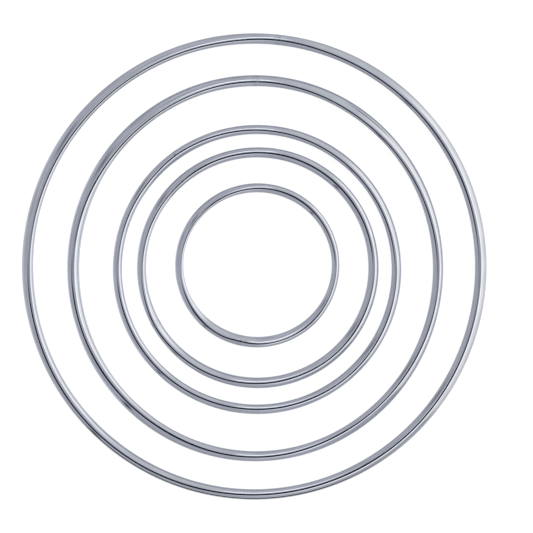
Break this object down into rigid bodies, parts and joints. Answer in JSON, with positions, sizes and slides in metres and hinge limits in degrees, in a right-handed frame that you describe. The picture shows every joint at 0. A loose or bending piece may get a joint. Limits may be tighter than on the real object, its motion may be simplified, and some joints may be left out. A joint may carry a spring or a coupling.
{
  "type": "nested wreath ring set",
  "caption": "Flat nested set of loose round-wire rings of different sizes, each a bent metal wire closed by one butt weld, for wreaths and ring-based floral work.",
  "frame": {"origin": "on the surface the rings lie on, under the middle of the largest ring", "axes": "+Z up out of the plane of the rings, +Y along the longer diameter of the largest ring, +X to the right when the rings are seen from above with +Y up"},
  "size_m": [0.1574, 0.1582, 0.0039],
  "materials": {
    "plated_wire": "bright zinc-plated steel wire, cool bluish grey, with fine lines along the wire",
    "weld_bead": "plated butt weld, dressed almost flush, slightly duller and uneven"
  },
  "bodies": {
    "smallest_ring": {"smallest_ring_wire": "plated_wire", "smallest_ring_weld": "weld_bead"},
    "second_ring": {"second_ring_wire": "plated_wire", "second_ring_weld": "weld_bead"},
    "middle_ring": {"middle_ring_wire": "plated_wire", "middle_ring_weld": "weld_bead"},
    "fourth_ring": {"fourth_ring_wire": "plated_wire", "fourth_ring_weld": "weld_bead"},
    "largest_ring": {"largest_ring_wire": "plated_wire", "largest_ring_weld": "weld_bead"}
  },
  "joints": [
    {"name": "smallest_ring_lift", "type": "slide", "parent": "largest_ring", "child": "smallest_ring", "axis": [0, 0, 1], "range_m": [0, 0.05]},
    {"name": "second_ring_lift", "type": "slide", "parent": "largest_ring", "child": "second_ring", "axis": [0, 0, 1], "range_m": [0, 0.05]},
    {"name": "middle_ring_lift", "type": "slide", "parent": "largest_ring", "child": "middle_ring", "axis": [0, 0, 1], "range_m": [0, 0.05]},
    {"name": "fourth_ring_lift", "type": "slide", "parent": "largest_ring", "child": "fourth_ring", "axis": [0, 0, 1], "range_m": [0, 0.05]}
  ]
}
